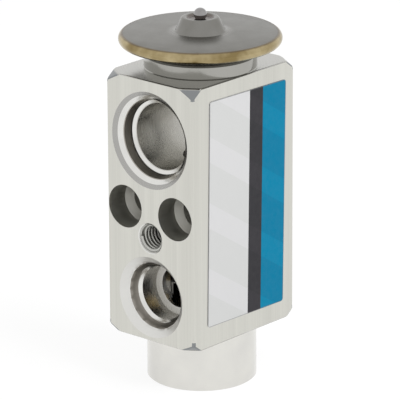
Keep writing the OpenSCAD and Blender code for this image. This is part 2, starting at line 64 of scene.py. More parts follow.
# Valve block. One length of extruded aluminium, with its side faces left as drawn, its corners
# turned off at both ends, and the neck and the boss turned on it. All ports and holes are
# machined into its two narrow faces.
BLOCK_HALF_X = 12.7 * MM
BLOCK_HALF_Y = 17.0 * MM
BLOCK_FOOT = 12.2 * MM
BLOCK_TOP = 72.2 * MM
TURNED_ENDS = 2.4 * MM
BOLT_Z = 42.1 * MM
STUD_Z = 36.1 * MM
BROKEN_EDGE = 0.25 * MM


def calc(tree, operation, *values):
    """One Math node; values are sockets or numbers."""
    made = tree.nodes.new("ShaderNodeMath")
    made.operation = operation
    for socket, value in zip(made.inputs, values):
        if isinstance(value, bpy.types.NodeSocket):
            tree.links.new(value, socket)
        else:
            socket.default_value = value
    return made.outputs[0]


def blend_colours(tree, share, first, second):
    """Mixes two colours, each a socket or an RGB triple, by a socket from 0 to 1."""
    made = tree.nodes.new("ShaderNodeMix")
    made.data_type = "RGBA"
    tree.links.new(share, made.inputs[0])
    for socket, value in ((made.inputs[6], first), (made.inputs[7], second)):
        if isinstance(value, bpy.types.NodeSocket):
            tree.links.new(value, socket)
        else:
            socket.default_value = (*value, 1.0)
    return made.outputs[2]


def grain(tree, scale, detail=3.0, along=None, stretch=(1.0, 1.0, 1.0)):
    """Noise from 0 to 1 on Object coordinates; along is another vector, stretch squeezes it."""
    mapping = tree.nodes.new("ShaderNodeMapping")
    mapping.inputs["Scale"].default_value = stretch
    if along is None:
        along = tree.nodes.new("ShaderNodeTexCoord").outputs["Object"]
    tree.links.new(along, mapping.inputs["Vector"])
    noise = tree.nodes.new("ShaderNodeTexNoise")
    noise.inputs["Scale"].default_value = scale
    noise.inputs["Detail"].default_value = detail
    tree.links.new(mapping.outputs[0], noise.inputs["Vector"])
    return noise.outputs["Fac"]


def spread(tree, value, low, high, floor=0.0, ceiling=1.0):
    """Maps a socket from low..high to floor..ceiling, and holds it there."""
    made = tree.nodes.new("ShaderNodeMapRange")
    tree.links.new(value, made.inputs[0])
    for socket, number in zip(made.inputs[1:5], (low, high, floor, ceiling)):
        socket.default_value = number
    return made.outputs[0]


def bump(tree, shader, height, distance, strength=1.0, below=None):
    """Puts a height socket on the shader's normal, over another bump if there is one."""
    made = tree.nodes.new("ShaderNodeBump")
    made.inputs["Strength"].default_value = strength
    made.inputs["Distance"].default_value = distance
    tree.links.new(height, made.inputs["Height"])
    if below is not None:
        tree.links.new(below, made.inputs["Normal"])
    tree.links.new(made.outputs[0], shader.inputs["Normal"])
    return made.outputs[0]


def new_finish(name, metallic=1.0, roughness=0.4):
    """An empty material with its tree, its shader and the parts of Object coordinates."""
    material = bpy.data.materials.new(name)
    material.use_nodes = True
    tree = material.node_tree
    shader = tree.nodes["Principled BSDF"]
    shader.inputs["Metallic"].default_value = metallic
    shader.inputs["Roughness"].default_value = roughness
    parts = tree.nodes.new("ShaderNodeSeparateXYZ")
    place = tree.nodes.new("ShaderNodeTexCoord")
    tree.links.new(place.outputs["Object"], parts.inputs[0])
    return material, tree, shader, parts.outputs


def radius_from(tree, first, second):
    """Distance from the line where both sockets are 0."""
    squares = calc(tree, "MULTIPLY_ADD", first, first, calc(tree, "MULTIPLY", second, second))
    return calc(tree, "SQRT", squares)


def grain_line(tree, value, scale, detail=2.0):
    """Noise from 0 to 1 along one measure, so that it draws rings or bands."""
    noise = tree.nodes.new("ShaderNodeTexNoise")
    noise.noise_dimensions = "1D"
    noise.inputs["Scale"].default_value = scale
    noise.inputs["Detail"].default_value = detail
    tree.links.new(value, noise.inputs["W"])
    return noise.outputs["Fac"]


def machined_aluminium(name):
    """Satin drawn faces, polished turned ends, bright bevels and dull seats and bores in the ports, with painted shade
    on the seats and on the neck under the head, and a painted dark reflection on the corner facets.
    """
    material, tree, shader, (x, y, z) = new_finish(name)
    flat_x = calc(tree, "GREATER_THAN", calc(tree, "ABSOLUTE", x), BLOCK_HALF_X - 0.02 * MM)
    flat_y = calc(tree, "GREATER_THAN", calc(tree, "ABSOLUTE", y), BLOCK_HALF_Y - 0.02 * MM)
    corner = calc(tree, "GREATER_THAN", radius_from(tree, x, y), 20.3 * MM)
    uncut = calc(tree, "LESS_THAN", radius_from(tree, x, y), 18.7 * MM)
    above = calc(tree, "MULTIPLY", calc(tree, "GREATER_THAN", z, BLOCK_FOOT + 0.3 * MM), uncut)
    above = calc(tree, "MAXIMUM", calc(tree, "GREATER_THAN", z, BLOCK_FOOT + TURNED_ENDS), above)
    below = calc(tree, "LESS_THAN", z, BLOCK_TOP - TURNED_ENDS)
    middle = calc(tree, "MULTIPLY", above, below)
    side = calc(tree, "MAXIMUM", calc(tree, "MAXIMUM", flat_x, flat_y), calc(tree, "MULTIPLY", corner, middle))
    inward = calc(tree, "SUBTRACT", 1.0, side)
    bored = calc(tree, "MULTIPLY", inward, middle)
    turned = calc(tree, "SUBTRACT", inward, bored)
    facet_dark_reflection = calc(tree, "MULTIPLY", turned, spread(tree, radius_from(tree, x, y), 19.1 * MM, 19.4 * MM))

    # How deep inside a port: two bright bevels with a dull seal seat between, darkened with painted shade, then the
    # bore
    deep = calc(tree, "SUBTRACT", BLOCK_HALF_Y, calc(tree, "ABSOLUTE", y))
    off_bolts = calc(tree, "GREATER_THAN", calc(tree, "ABSOLUTE", calc(tree, "SUBTRACT", z, BOLT_Z)), 5.3 * MM)
    off_stud = calc(tree, "GREATER_THAN", calc(tree, "ABSOLUTE", calc(tree, "SUBTRACT", z, STUD_Z)), 3.8 * MM)
    port = calc(tree, "MULTIPLY", calc(tree, "MULTIPLY", off_bolts, off_stud), bored)
    seat = calc(tree, "MULTIPLY", calc(tree, "GREATER_THAN", deep, 1.6 * MM), calc(tree, "LESS_THAN", deep, 3.4 * MM))
    seat = calc(tree, "MULTIPLY", seat, port)
    lip = calc(tree, "MULTIPLY", calc(tree, "LESS_THAN", deep, 0.74 * MM), calc(tree, "GREATER_THAN", z, 47 * MM))
    lip = calc(tree, "MULTIPLY", lip, bored)
    bore = calc(tree, "MULTIPLY", calc(tree, "GREATER_THAN", deep, 4.2 * MM), bored)
    low_port = calc(tree, "LESS_THAN", z, STUD_Z)
    mouth = calc(tree, "MULTIPLY", calc(tree, "LESS_THAN", deep, 1.5 * MM), calc(tree, "MULTIPLY", port, low_port))
    hole = calc(tree, "MULTIPLY", calc(tree, "SUBTRACT", bored, port), calc(tree, "GREATER_THAN", deep, 0.2 * MM))

    # Upright streaks on the drawn faces, rings round the axis on the ends, rings in the ports
    streak = grain(tree, 1.0, 4.0, stretch=(2600.0, 2600.0, 22.0))
    wide_streak = grain(tree, 1.0, 2.0, stretch=(420.0, 420.0, 5.0))
    half = calc(tree, "SUBTRACT", z, (BLOCK_FOOT + BLOCK_TOP) / 2)
    ring_at = calc(tree, "SUBTRACT", radius_from(tree, x, y), calc(tree, "ABSOLUTE", half))
    ring = grain_line(tree, ring_at, 5200.0)
    port_ring = grain_line(tree, y, 3000.0)
    height = calc(tree, "MULTIPLY", streak, calc(tree, "MULTIPLY", side, 0.5))
    height = calc(tree, "MULTIPLY_ADD", ring, calc(tree, "MULTIPLY", turned, 0.16), height)
    height = calc(tree, "MULTIPLY_ADD", port_ring, calc(tree, "MULTIPLY", bored, 0.3), height)
    bump(tree, shader, height, 0.012 * MM, 0.5)

    cloud = spread(tree, grain(tree, 170.0, 3.0), 0.3, 0.7)
    lines = spread(tree, calc(tree, "MULTIPLY_ADD", wide_streak, 0.5, calc(tree, "MULTIPLY", streak, 0.5)), 0.35, 0.65)
    drawn_tone = blend_colours(tree, lines, (0.60, 0.595, 0.55), (0.67, 0.665, 0.615))
    turned_tone = blend_colours(tree, spread(tree, ring, 0.3, 0.7), (0.43, 0.425, 0.40), (0.50, 0.495, 0.47))
    bevel_tone = blend_colours(tree, cloud, (0.68, 0.675, 0.65), (0.74, 0.735, 0.71))
    # The seats' darker tones are painted shade in the port's recess.
    seat_shade_tone = blend_colours(tree, spread(tree, port_ring, 0.3, 0.7), (0.34, 0.32, 0.28), (0.42, 0.40, 0.36))
    bore_tone = blend_colours(tree, cloud, (0.50, 0.49, 0.46), (0.58, 0.57, 0.53))
    seat_shade_tone = blend_colours(tree, low_port, seat_shade_tone, (0.32, 0.30, 0.27))
    bore_tone = blend_colours(tree, low_port, bore_tone, (0.56, 0.55, 0.52))
    boss_tone = blend_colours(tree, cloud, (0.68, 0.67, 0.64), (0.73, 0.72, 0.68))
    boss = calc(tree, "LESS_THAN", z, BLOCK_FOOT)
    turned_tone = blend_colours(tree, boss, turned_tone, boss_tone)
    # The neck under the head cover gets a darker tone: painted shade.
    neck = calc(tree, "GREATER_THAN", z, BLOCK_TOP + 0.05 * MM)
    turned_tone = blend_colours(tree, neck, turned_tone, (0.36, 0.355, 0.33))
    tone = blend_colours(tree, turned, drawn_tone, turned_tone)
    # The turned corner facets get a dark tone that stands in for their mirror reflection: a painted reflection.
    tone = blend_colours(tree, facet_dark_reflection, tone, (0.24, 0.25, 0.255))
    tone = blend_colours(tree, bored, tone, bevel_tone)
    tone = blend_colours(tree, lip, tone, (0.40, 0.395, 0.38))
    tone = blend_colours(tree, mouth, tone, (0.70, 0.695, 0.67))
    tone = blend_colours(tree, seat, tone, seat_shade_tone)
    tone = blend_colours(tree, hole, tone, (0.50, 0.50, 0.47))
    tone = blend_colours(tree, bore, tone, bore_tone)
    tree.links.new(tone, shader.inputs["Base Color"])

    rough = calc(tree, "MULTIPLY_ADD", side, 0.22, 0.13)
    rough = calc(tree, "MULTIPLY_ADD", seat, 0.2, rough)
    rough = calc(tree, "MULTIPLY_ADD", lip, 0.1, rough)
    rough = calc(tree, "MULTIPLY_ADD", bore, 0.12, rough)
    rough = calc(tree, "MULTIPLY_ADD", hole, 0.24, rough)
    rough = calc(tree, "MULTIPLY_ADD", mouth, 0.2, rough)
    rough = calc(tree, "MULTIPLY_ADD", spread(tree, streak, 0.3, 0.7), 0.06, rough)
    tree.links.new(rough, shader.inputs["Roughness"])
    return material


def show(piece, body, slot, *replaced):
    """Puts a finished piece in the scene, on its body, and hides the nodes it stands for; slot is not used."""
    if piece.name not in scene.collection.objects:
        scene.collection.objects.link(piece)
    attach(piece, body)
    if replaced:
        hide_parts(*replaced)
    return piece


def set_material(piece, material):
    piece.data.materials.clear()
    piece.data.materials.append(material)


def settle(piece):
    """Turns a piece's modifiers into plain mesh."""
    if piece.name not in scene.collection.objects:
        scene.collection.objects.link(piece)
    evaluated = piece.evaluated_get(bpy.context.evaluated_depsgraph_get())
    done = bpy.data.meshes.new_from_object(evaluated)
    piece.modifiers.clear()
    piece.data = done
    return piece


def merged_copy(node, name):
    """A copy of a CAD node with its doubled corners merged."""
    piece = bpy.data.objects.new(name, nodes[node].data.copy())
    shell = bmesh.new()
    shell.from_mesh(piece.data)
    bmesh.ops.remove_doubles(shell, verts=shell.verts, dist=0.002 * MM)
    bmesh.ops.dissolve_degenerate(shell, edges=shell.edges, dist=0.001 * MM)
    shell.to_mesh(piece.data)
    shell.free()
    for name in list(piece.data.attributes.keys()):
        if name == "custom_normal":
            piece.data.attributes.remove(piece.data.attributes[name])
    return piece


block = merged_copy("valve_body", "valve_block")
form = bmesh.new()
form.from_mesh(block.data)
bmesh.ops.dissolve_limit(form, angle_limit=math.radians(0.3), verts=form.verts, edges=form.edges)
outer = form.edges.layers.float.new("bevel_weight_edge")
for edge in form.edges:
    ends = [corner.co for corner in edge.verts]
    level_end = all(abs(c.z - BLOCK_TOP) < 0.01 * MM or abs(c.z - BLOCK_FOOT) < 0.01 * MM for c in ends)
    near_end = all(abs(c.z - (BLOCK_TOP + BLOCK_FOOT) / 2) > 27.4 * MM for c in ends)
    corner_cut = near_end and all(math.hypot(c.x, c.y) > 18.9 * MM for c in ends)
    bent = len(edge.link_faces) == 2 and edge.calc_face_angle(0.0) > math.radians(24)
    if bent and (level_end or corner_cut) and all(math.hypot(c.x, c.y) > 12.65 * MM for c in ends):
        edge[outer] = 1.0
form.to_mesh(block.data)
form.free()
edges = block.modifiers.new("edges", "BEVEL")
edges.width = BROKEN_EDGE
edges.segments = 1
edges.limit_method = "WEIGHT"
edges.use_clamp_overlap = False
block.data.shade_smooth()
settle(block)
block.data.set_sharp_from_angle(angle=math.radians(26))
even = block.modifiers.new("even", "WEIGHTED_NORMAL")
even.keep_sharp = True
even.weight = 100
settle(block)
body_metal = machined_aluminium("machined_aluminium")
set_material(block, body_metal)
show(block, "valve_body", "body_aluminium", "valve_body")

# Upper cover of the power head. A stainless disc with a small dome pressed up in its middle,
# welded all round its edge to the lower shell, which leaves a heat-tinted bead.
CLAMP = 78.4 * MM
RIM_R = 18.075 * MM
RIM_H = 2.44 * MM
BEAD_W = 0.77 * MM
WELD_MARK = (10.9 * MM, -13.4 * MM)
DISH_R = 3.15 * MM


def lathe(name, profile, steps=160):
    """A closed mesh turned from (radius, height) points; a point on the axis is one pole."""
    shell = bmesh.new()
    rings = []
    for r, z in profile:
        if r < 1e-7:
            rings.append([shell.verts.new((0, 0, z))])
        else:
            turns = (2 * math.pi * i / steps for i in range(steps))
            rings.append([shell.verts.new((r * math.cos(a), r * math.sin(a), z)) for a in turns])
    for here, there in zip(rings, rings[1:] + rings[:1]):
        if len(here) == 1 and len(there) == 1:
            continue
        for i in range(steps):
            j = (i + 1) % steps
            if len(here) == 1:
                shell.faces.new((here[0], there[j], there[i]))
            elif len(there) == 1:
                shell.faces.new((here[i], here[j], there[0]))
            else:
                shell.faces.new((here[i], here[j], there[j], there[i]))
    bmesh.ops.recalc_face_normals(shell, faces=shell.faces)
    mesh = bpy.data.meshes.new(name)
    shell.to_mesh(mesh)
    shell.free()
    mesh.shade_smooth()
    mesh.set_sharp_from_angle(angle=math.radians(35))
    return bpy.data.objects.new(name, mesh)


def rounded(points, radii, pieces=5):
    """The same line of points with each inner corner rounded, where its sides are long enough."""
    out = [points[0]]
    for before, here, after, radius in zip(points, points[1:], points[2:], radii):
        here = Vector(here)
        back = Vector(before) - here
        on = Vector(after) - here
        reach = min(radius, back.length * 0.45, on.length * 0.45)
        first = here + back.normalized() * reach
        last = here + on.normalized() * reach
        for k in range(pieces + 1):
            t = k / pieces
            out.append(tuple(first * (1 - t) ** 2 + here * (2 * t * (1 - t)) + last * t * t))
    return out + [points[-1]]


def tinted_steel(name):
    """Pressed stainless sheet, satin, with the gold and brown tint of the weld at its rim; painted shade darkens the
    inner edge of the bead and the dish round the ball.
    """
    material, tree, shader, (x, y, z) = new_finish(name)
    r = radius_from(tree, x, y)
    rings = grain_line(tree, r, 3800.0)
    blotch = grain(tree, 200.0, 3.0)
    speck = grain(tree, 1500.0, 2.0)
    wander = calc(tree, "MULTIPLY_ADD", blotch, 0.3 * MM, r)
    tint = spread(tree, wander, RIM_R - 0.85 * MM, RIM_R - 0.5 * MM)
    # A thin darker line along the inner edge of the bead: painted shade.
    crease_shade = calc(tree, "ABSOLUTE", calc(tree, "SUBTRACT", wander, RIM_R - 0.62 * MM))
    crease_shade = spread(tree, crease_shade, 0.12 * MM, 0.42 * MM, 1.0, 0.0)
    upper = calc(tree, "GREATER_THAN", z, CLAMP + RIM_H * 0.4)
    weld_x = calc(tree, "SUBTRACT", x, WELD_MARK[0])
    weld_y = calc(tree, "SUBTRACT", y, WELD_MARK[1])
    weld_wander = calc(tree, "MULTIPLY_ADD", speck, 0.5 * MM, radius_from(tree, weld_x, weld_y))
    weld = calc(tree, "MULTIPLY", spread(tree, weld_wander, 0.5 * MM, 1.0 * MM, 0.7, 0.0), upper)
    satin = blend_colours(tree, spread(tree, blotch, 0.3, 0.7), (0.20, 0.195, 0.18), (0.24, 0.235, 0.22))
    gold = blend_colours(tree, spread(tree, blotch, 0.35, 0.65), (0.24, 0.18, 0.08), (0.46, 0.38, 0.22))
    tone = blend_colours(tree, tint, satin, gold)
    # Darkens the line inside the bead, which is painted shade, and the weld mark, which is a real mark.
    dark = calc(tree, "MAXIMUM", calc(tree, "MULTIPLY", calc(tree, "MULTIPLY", crease_shade, upper), 0.75), weld)
    tone = blend_colours(tree, dark, tone, (0.13, 0.10, 0.07))
    # The dish round the charge ball is darkened: painted shade in the dish.
    dish = spread(tree, r, DISH_R - 0.25 * MM, DISH_R, 1.0, 0.0)
    tree.links.new(blend_colours(tree, dish, tone, (0.16, 0.14, 0.13)), shader.inputs["Base Color"])
    cone = spread(tree, r, 6.0 * MM, 7.6 * MM)
    rough = calc(tree, "MULTIPLY_ADD", cone, 0.16, 0.2)
    rough = calc(tree, "MULTIPLY_ADD", tint, -0.25, rough)
    tree.links.new(calc(tree, "MULTIPLY_ADD", speck, 0.05, rough), shader.inputs["Roughness"])
    fine = bump(tree, shader, calc(tree, "MULTIPLY_ADD", rings, 0.3, speck), 0.006 * MM, 0.3)
    bump(tree, shader, calc(tree, "ADD", blotch, weld), 0.03 * MM, 0.3, fine)
    return material


cover_top = CLAMP + RIM_H / 2
flat_r = RIM_R - BEAD_W
bead_r = (BEAD_W ** 2 + RIM_H ** 2 / 4) / (2 * BEAD_W)
bead_arc = math.asin(RIM_H / 2 / bead_r)
SHEET = 0.7 * MM
SKIRT_R = 7.2 * MM
SKIRT_RISE = 0.15 * MM
DOME_R = 5.6 * MM
SHOULDER_R = 4.1 * MM
DOME_TOP_R = 3.4 * MM
DOME_H = 3.3 * MM
DOME_DISH = 0.5 * MM
DOME_LIP = 0.25 * MM
CHARGE_HOLE_R = 1.1 * MM
COVER_RISE = 0.25 * MM
DIAPHRAGM_HALF = 0.075 * MM
REST_GAP = 0.02 * MM
dome_foot = cover_top + COVER_RISE
dome_top = dome_foot + DOME_H
dish_floor = dome_top - DOME_DISH
cover_top_line = [(CHARGE_HOLE_R, dish_floor), (DOME_TOP_R - DOME_LIP - DOME_DISH, dish_floor),
                  (DOME_TOP_R - DOME_LIP, dome_top), (SHOULDER_R, dome_top),
                  (DOME_R, dome_foot + SKIRT_RISE), (SKIRT_R, dome_foot), (flat_r, cover_top)]
cover_outline = rounded(cover_top_line, [0.2 * MM, 0.1 * MM, 1.4 * MM, 0.3 * MM, 1.2 * MM])[:-1]
bead_steps = 20
bead = [bead_arc * (1 - 2 * i / bead_steps) for i in range(bead_steps + 1)]
cover_outline += [(RIM_R - bead_r + bead_r * math.cos(a), CLAMP + bead_r * math.sin(a)) for a in bead]
cover_outline += [(flat_r - REST_GAP, CLAMP - RIM_H / 2), (flat_r - REST_GAP, CLAMP + DIAPHRAGM_HALF)]
CLAMP_R = flat_r - 2.9 * MM
sheet_under = dome_foot - SHEET
cover_outline += [(CLAMP_R, CLAMP + DIAPHRAGM_HALF), (CLAMP_R, sheet_under)]
cover_outline += [(DOME_R - SHEET, sheet_under), (DOME_R - SHEET, dome_foot)]
cover_outline += [(DOME_TOP_R - SHEET / 2, dish_floor - SHEET), (CHARGE_HOLE_R, dish_floor - SHEET)]
cover = lathe("head_cover_pressing", cover_outline)
head_steel = tinted_steel("tinted_steel")
set_material(cover, head_steel)
show(cover, "valve_body", "head_steel", "head_cover")
set_material(nodes["head_base"], head_steel)

# Ball that plugs the charging hole. A polished bearing ball, welded into the dome's dish.
def polished_steel(name):
    material, tree, shader, (x, y, z) = new_finish(name, 1.0, 0.12)
    scuff = grain(tree, 900.0, 3.0)
    tone = blend_colours(tree, spread(tree, scuff, 0.3, 0.7), (0.28, 0.275, 0.27), (0.34, 0.33, 0.33))
    tree.links.new(tone, shader.inputs["Base Color"])
    tree.links.new(spread(tree, scuff, 0.3, 0.8, 0.05, 0.14), shader.inputs["Roughness"])
    bump(tree, shader, scuff, 0.004 * MM, 0.3)
    return material


ball_steel = polished_steel("polished_steel")
set_material(nodes["charge_ball"], ball_steel)
set_material(nodes["valve_ball"], ball_steel)

# Label. Silver film with two printed stripes, stuck on the wide face by hand, so a little askew.
LABEL_MIDDLE = (12.7 * MM, 0.75 * MM, 42.6 * MM)
LABEL_TILT = math.radians(1.0)
LABEL_HALF_W = 12.75 * MM
LABEL_HALF_H = 25.8 * MM


def printed_film(name):
    """Silver film with a charcoal and a blue stripe, faint slanting tones and a thin grey edge."""
    material, tree, shader, place = new_finish(name, 0.0, 0.38)
    mapping = tree.nodes.new("ShaderNodeMapping")
    mapping.vector_type = "TEXTURE"
    mapping.inputs["Location"].default_value = LABEL_MIDDLE
    mapping.inputs["Rotation"].default_value = (-LABEL_TILT, 0, 0)
    where = tree.nodes.new("ShaderNodeTexCoord")
    tree.links.new(where.outputs["Object"], mapping.inputs["Vector"])
    parts = tree.nodes.new("ShaderNodeSeparateXYZ")
    tree.links.new(mapping.outputs[0], parts.inputs[0])
    across, up = parts.outputs[1], parts.outputs[2]
    charcoal_on = calc(tree, "GREATER_THAN", across, 0.6 * MM)
    blue_on = calc(tree, "GREATER_THAN", across, 5.0 * MM)
    mottle = spread(tree, grain(tree, 900.0, 3.0), 0.3, 0.7)
    slant = calc(tree, "MULTIPLY_ADD", across, 0.6, up)
    bands = calc(tree, "GREATER_THAN", calc(tree, "PINGPONG", slant, 7.5 * MM), 4.6 * MM)
    silver = blend_colours(tree, bands, (0.60, 0.605, 0.60), (0.635, 0.635, 0.64))
    charcoal = blend_colours(tree, bands, (0.035, 0.034, 0.038), (0.040, 0.038, 0.043))
    blue = blend_colours(tree, bands, (0.0, 0.185, 0.33), (0.0, 0.21, 0.365))
    ink = blend_colours(tree, charcoal_on, silver, charcoal)
    ink = blend_colours(tree, blue_on, ink, blue)
    ink = blend_colours(tree, calc(tree, "MULTIPLY", mottle, 0.015), ink, (0.5, 0.5, 0.5))
    side_edge = calc(tree, "GREATER_THAN", calc(tree, "ABSOLUTE", across), LABEL_HALF_W - 0.16 * MM)
    end_edge = calc(tree, "GREATER_THAN", calc(tree, "ABSOLUTE", up), LABEL_HALF_H - 0.16 * MM)
    edge = calc(tree, "MULTIPLY", calc(tree, "MAXIMUM", side_edge, end_edge), 0.6)
    tree.links.new(blend_colours(tree, edge, ink, (0.16, 0.16, 0.17)), shader.inputs["Base Color"])
    shader.inputs["Specular IOR Level"].default_value = 0.06
    bump(tree, shader, mottle, 0.004 * MM, 0.2)
    return material


set_material(nodes["label"], printed_film("printed_film"))

# Sensing pin, push rod, seat and star washer. Small turned and stamped parts down the axis.
def turned_metal(name, colour, dark, roughness, metallic=1.0):
    """A turned piece: fine rings along the valve's axis and a little cloudiness."""
    material, tree, shader, (x, y, z) = new_finish(name, metallic, roughness)
    rings = grain_line(tree, calc(tree, "ADD", z, radius_from(tree, x, y)), 5000.0)
    cloud = grain(tree, 500.0, 3.0)
    share = spread(tree, calc(tree, "MULTIPLY_ADD", rings, 0.5, calc(tree, "MULTIPLY", cloud, 0.5)), 0.35, 0.65)
    tree.links.new(blend_colours(tree, share, colour, dark), shader.inputs["Base Color"])
    tree.links.new(spread(tree, cloud, 0.3, 0.7, roughness, roughness + 0.12), shader.inputs["Roughness"])
    bump(tree, shader, rings, 0.008 * MM, 0.5)
    return material


pin_metal = turned_metal("turned_aluminium", (0.78, 0.78, 0.77), (0.62, 0.62, 0.61), 0.28)
rod_metal = turned_metal("ground_steel", (0.62, 0.62, 0.63), (0.50, 0.50, 0.51), 0.22)
brass = turned_metal("turned_brass", (0.74, 0.58, 0.30), (0.60, 0.45, 0.22), 0.26)
sheet_metal = turned_metal("rolled_sheet", (0.66, 0.66, 0.64), (0.54, 0.54, 0.53), 0.3)
set_material(nodes["sensing_pin"], pin_metal)
set_material(nodes["push_rod"], rod_metal)
set_material(nodes["seat_ring"], rod_metal)
set_material(nodes["ball_carriage"], brass)
set_material(nodes["diaphragm_pad"], brass)
set_material(nodes["damper_spring"], sheet_metal)
set_material(nodes["seal_retainer"], sheet_metal)

# Rubber rings under the head, round the pin and round the nut. Moulded, matt, with a thin bloom.
def moulded_rubber(name):
    material, tree, shader, (x, y, z) = new_finish(name, 0.0, 0.6)
    bloom = grain(tree, 1200.0, 4.0)
    tone = blend_colours(tree, spread(tree, bloom, 0.3, 0.7), (0.012, 0.016, 0.013), (0.03, 0.036, 0.031))
    tree.links.new(tone, shader.inputs["Base Color"])
    bump(tree, shader, bloom, 0.01 * MM, 0.4)
    return material


rubber = moulded_rubber("moulded_rubber")
for ring in ("head_seal", "rod_seal", "nut_seal"):
    set_material(nodes[ring], rubber)

# Diaphragm. A waved sheet of spring steel, made as it lies raised by the pad while the valve is shut;
# in the valve it goes down flat as the valve opens, but this mesh keeps its raised shape.
SHEET_UP = 0.615 * MM
PAD_R = CLAMP_R - 3.6 * MM
CLAMP_EDGE = flat_r - 4 * REST_GAP
WAVE_H = 0.1 * MM
waves = 40
upper = []
for i in range(waves + 1):
    t = i / waves
    lift = SHEET_UP * (1 + math.cos(math.pi * t)) / 2 + WAVE_H * math.sin(4 * math.pi * t) * (1 - t)
    upper.append((PAD_R + (CLAMP_R - PAD_R) * t, CLAMP + lift))
middle_line = [(0, CLAMP + SHEET_UP)] + upper + [(CLAMP_EDGE, CLAMP)]
sheet_outline = [(r, z + DIAPHRAGM_HALF) for r, z in middle_line]
sheet_outline += [(r, z - DIAPHRAGM_HALF) for r, z in reversed(middle_line)]
diaphragm = lathe("waved_diaphragm", sheet_outline, 96)
set_material(diaphragm, sheet_metal)
show(diaphragm, "valve_body", "sheet_steel", "diaphragm")
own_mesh(diaphragm)

# Thread of the tapped hole in the narrow face. A helical ridge left by the tap, cut in the
# block's own metal, so it goes with the block.
STUD_R = 3.0 * MM
STUD_CREST_R = 2.46 * MM
STUD_PITCH = 1.0 * MM
STUD_FROM, STUD_TO = -16.45 * MM, -6.55 * MM


def helix_tree(name, inputs):
    """A new Geometry Nodes tree with its named inputs, their socket identifiers and the group input's sockets."""
    tree = bpy.data.node_groups.new(name, "GeometryNodeTree")
    sockets = {}
    for title, kind in inputs:
        sockets[title] = tree.interface.new_socket(name=title, in_out="INPUT", socket_type=kind).identifier
    tree.interface.new_socket(name="Geometry", in_out="OUTPUT", socket_type="NodeSocketGeometry")
    given = {socket.name: socket for socket in tree.nodes.new("NodeGroupInput").outputs if socket.name}
    return tree, sockets, given


def wind(tree, profile, steps, given, law):
    """Sweeps a closed profile along a straight strip and winds it round z by the given law."""
    line = tree.nodes.new("GeometryNodeCurvePrimitiveLine")
    line.inputs["Start"].default_value = (0, 0, 0)
    line.inputs["End"].default_value = (1, 0, 0)
    fine = tree.nodes.new("GeometryNodeResampleCurve")
    fine.inputs["Count"].default_value = steps
    tree.links.new(line.outputs[0], fine.inputs["Curve"])
    strip = tree.nodes.new("GeometryNodeCurveToMesh")
    strip.inputs["Fill Caps"].default_value = True
    tree.links.new(fine.outputs[0], strip.inputs["Curve"])
    tree.links.new(profile, strip.inputs["Profile Curve"])
    spot = tree.nodes.new("ShaderNodeSeparateXYZ")
    tree.links.new(tree.nodes.new("GeometryNodeInputPosition").outputs[0], spot.inputs[0])
    angle, radius, height = law(*spot.outputs)
    wound = tree.nodes.new("ShaderNodeCombineXYZ")
    tree.links.new(calc(tree, "MULTIPLY", radius, calc(tree, "COSINE", angle)), wound.inputs[0])
    tree.links.new(calc(tree, "MULTIPLY", radius, calc(tree, "SINE", angle)), wound.inputs[1])
    tree.links.new(height, wound.inputs[2])
    moved = tree.nodes.new("GeometryNodeSetPosition")
    tree.links.new(strip.outputs[0], moved.inputs["Geometry"])
    tree.links.new(wound.outputs[0], moved.inputs["Position"])
    real = tree.nodes.new("GeometryNodeRealizeInstances")
    tree.links.new(moved.outputs[0], real.inputs[0])
    finish = tree.nodes.new("GeometryNodeSetMaterial")
    tree.links.new(real.outputs[0], finish.inputs["Geometry"])
    tree.links.new(given["Material"], finish.inputs["Material"])
    tree.links.new(finish.outputs[0], tree.nodes.new("NodeGroupOutput").inputs[0])


def thread_tree():
    """A V-shaped ridge that climbs one pitch a turn, from its root radius to its crest radius."""
    kinds = [(title, "NodeSocketFloat") for title in ("Root radius", "Crest radius", "Pitch", "Turns", "Start")]
    tree, sockets, given = helix_tree("thread_ridge", kinds + [("Material", "NodeSocketMaterial")])
    ridge = tree.nodes.new("GeometryNodeCurvePrimitiveQuadrilateral")
    ridge.mode = "TRAPEZOID"
    tree.links.new(calc(tree, "MULTIPLY", given["Pitch"], 0.9), ridge.inputs["Bottom Width"])
    tree.links.new(calc(tree, "MULTIPLY", given["Pitch"], 0.14), ridge.inputs["Top Width"])
    ridge.inputs["Height"].default_value = 1.0
    ridge.inputs["Offset"].default_value = 0.0

    def law(along, across, up):
        turns = calc(tree, "MULTIPLY", along, given["Turns"])
        share = calc(tree, "SUBTRACT", 0.5, up)
        rise = calc(tree, "SUBTRACT", given["Crest radius"], given["Root radius"])
        radius = calc(tree, "MULTIPLY_ADD", share, rise, given["Root radius"])
        base = calc(tree, "ADD", given["Start"], across)
        return (calc(tree, "MULTIPLY", turns, 2 * math.pi), radius,
                calc(tree, "MULTIPLY_ADD", turns, given["Pitch"], base))

    wind(tree, ridge.outputs[0], 361, given, law)
    return tree, sockets


def grown(name, tree, sockets, values):
    """Runs a tree with its inputs set and keeps the result as a plain mesh with outward faces."""
    piece = bpy.data.objects.new(name, bpy.data.meshes.new(name))
    grow = piece.modifiers.new("grow", "NODES")
    grow.node_group = tree
    for title, value in values.items():
        grow[sockets[title]] = value
    settle(piece)
    shell = bmesh.new()
    shell.from_mesh(piece.data)
    bmesh.ops.remove_doubles(shell, verts=shell.verts, dist=0.001 * MM)
    bmesh.ops.recalc_face_normals(shell, faces=shell.faces)
    shell.to_mesh(piece.data)
    shell.free()
    return piece


